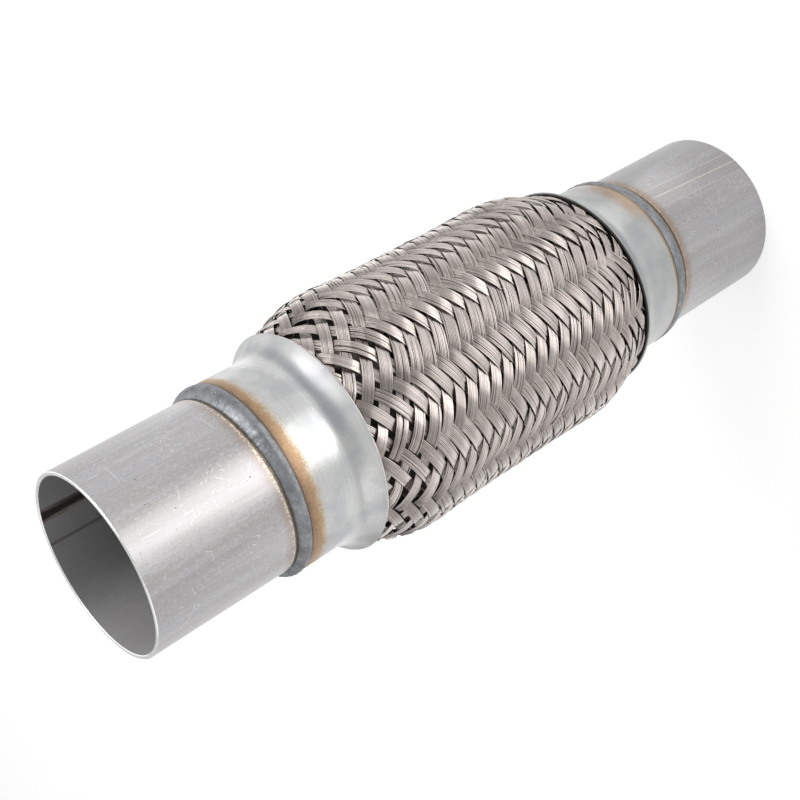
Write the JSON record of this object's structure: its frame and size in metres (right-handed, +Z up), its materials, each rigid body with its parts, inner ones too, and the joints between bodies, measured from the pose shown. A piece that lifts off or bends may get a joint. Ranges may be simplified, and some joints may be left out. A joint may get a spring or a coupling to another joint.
{
  "type": "exhaust flex pipe",
  "caption": "Braided exhaust flex pipe: a bellows under a woven wire sleeve between two flared end caps, with a plain extension pipe welded into each.",
  "frame": {"origin": "centre of the lower pipe's rim, which the part stands on", "axes": "+Z up along the pipe axis; X and Y are across it, and -Y faces the viewer of the picture"},
  "size_m": [0.0766, 0.0766, 0.251],
  "materials": {
    "pipe_steel": "satin aluminised steel tube",
    "weld_steel": "as-welded bead with heat tint beside it",
    "cap_steel": "bright pressed stainless",
    "braid_wire": "drawn stainless wire",
    "bellows_steel": "thin rolled stainless sheet",
    "liner_steel": "interlocked strip"
  },
  "bodies": {
    "lower_end": {"lower_extension_pipe": "pipe_steel", "lower_weld_bead": "weld_steel", "lower_end_cap": "cap_steel"},
    "flex_core": {"outer_braid": "braid_wire", "bellows": "bellows_steel", "interlock_liner": "liner_steel"},
    "upper_end": {"upper_extension_pipe": "pipe_steel", "upper_weld_bead": "weld_steel", "upper_end_cap": "cap_steel"}
  },
  "joints": [
    {"name": "flex_bend_x", "type": "hinge", "parent": "lower_end", "child": "flex_core", "pos_m": [0, 0, 0.12629], "axis": [1, 0, 0], "range_deg": [-10, 10], "stiffness_Nm_per_rad": 40, "deforming": ["outer_braid", "bellows", "interlock_liner"]},
    {"name": "flex_bend_y", "type": "hinge", "parent": "flex_core", "child": "upper_end", "pos_m": [0, 0, 0.12629], "axis": [0, 1, 0], "range_deg": [-10, 10], "stiffness_Nm_per_rad": 40, "deforming": ["outer_braid", "bellows", "interlock_liner"]}
  ]
}
